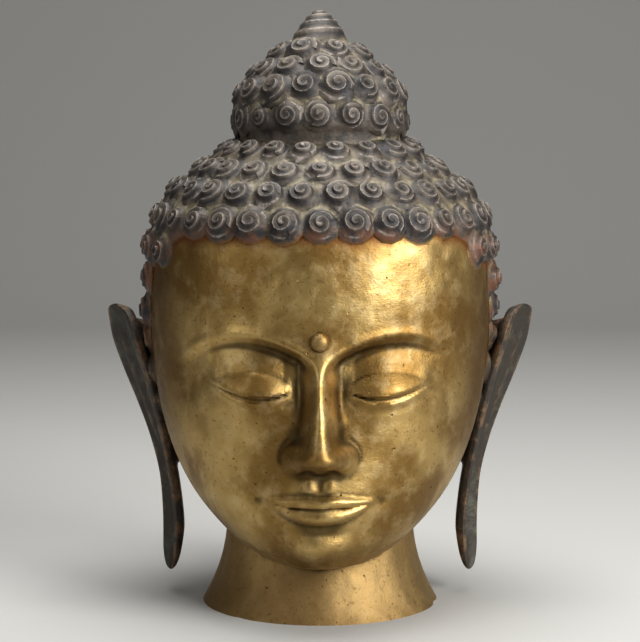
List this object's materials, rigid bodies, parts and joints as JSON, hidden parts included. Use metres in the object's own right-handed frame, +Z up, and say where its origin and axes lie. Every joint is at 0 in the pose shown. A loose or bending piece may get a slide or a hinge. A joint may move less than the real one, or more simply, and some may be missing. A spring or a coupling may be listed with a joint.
{
  "type": "bronze buddha head",
  "caption": "Cast bronze head of a Buddha with rows of snail-shell curls, a bun with a pointed shell on the crown, long hanging ears and a flared neck that it stands on.",
  "frame": {"origin": "centre of the neck's flat foot, on the surface that the head stands on", "axes": "+Z up through the pointed shell, -Y the way the face looks, +X towards the head's own left ear"},
  "size_m": [0.265, 0.2364, 0.36],
  "materials": {
    "bronze": "worn gilt over dark brown patina, satin on the face and dull in the hair"
  },
  "bodies": {
    "root": {"buddha_head": "bronze"}
  },
  "joints": []
}
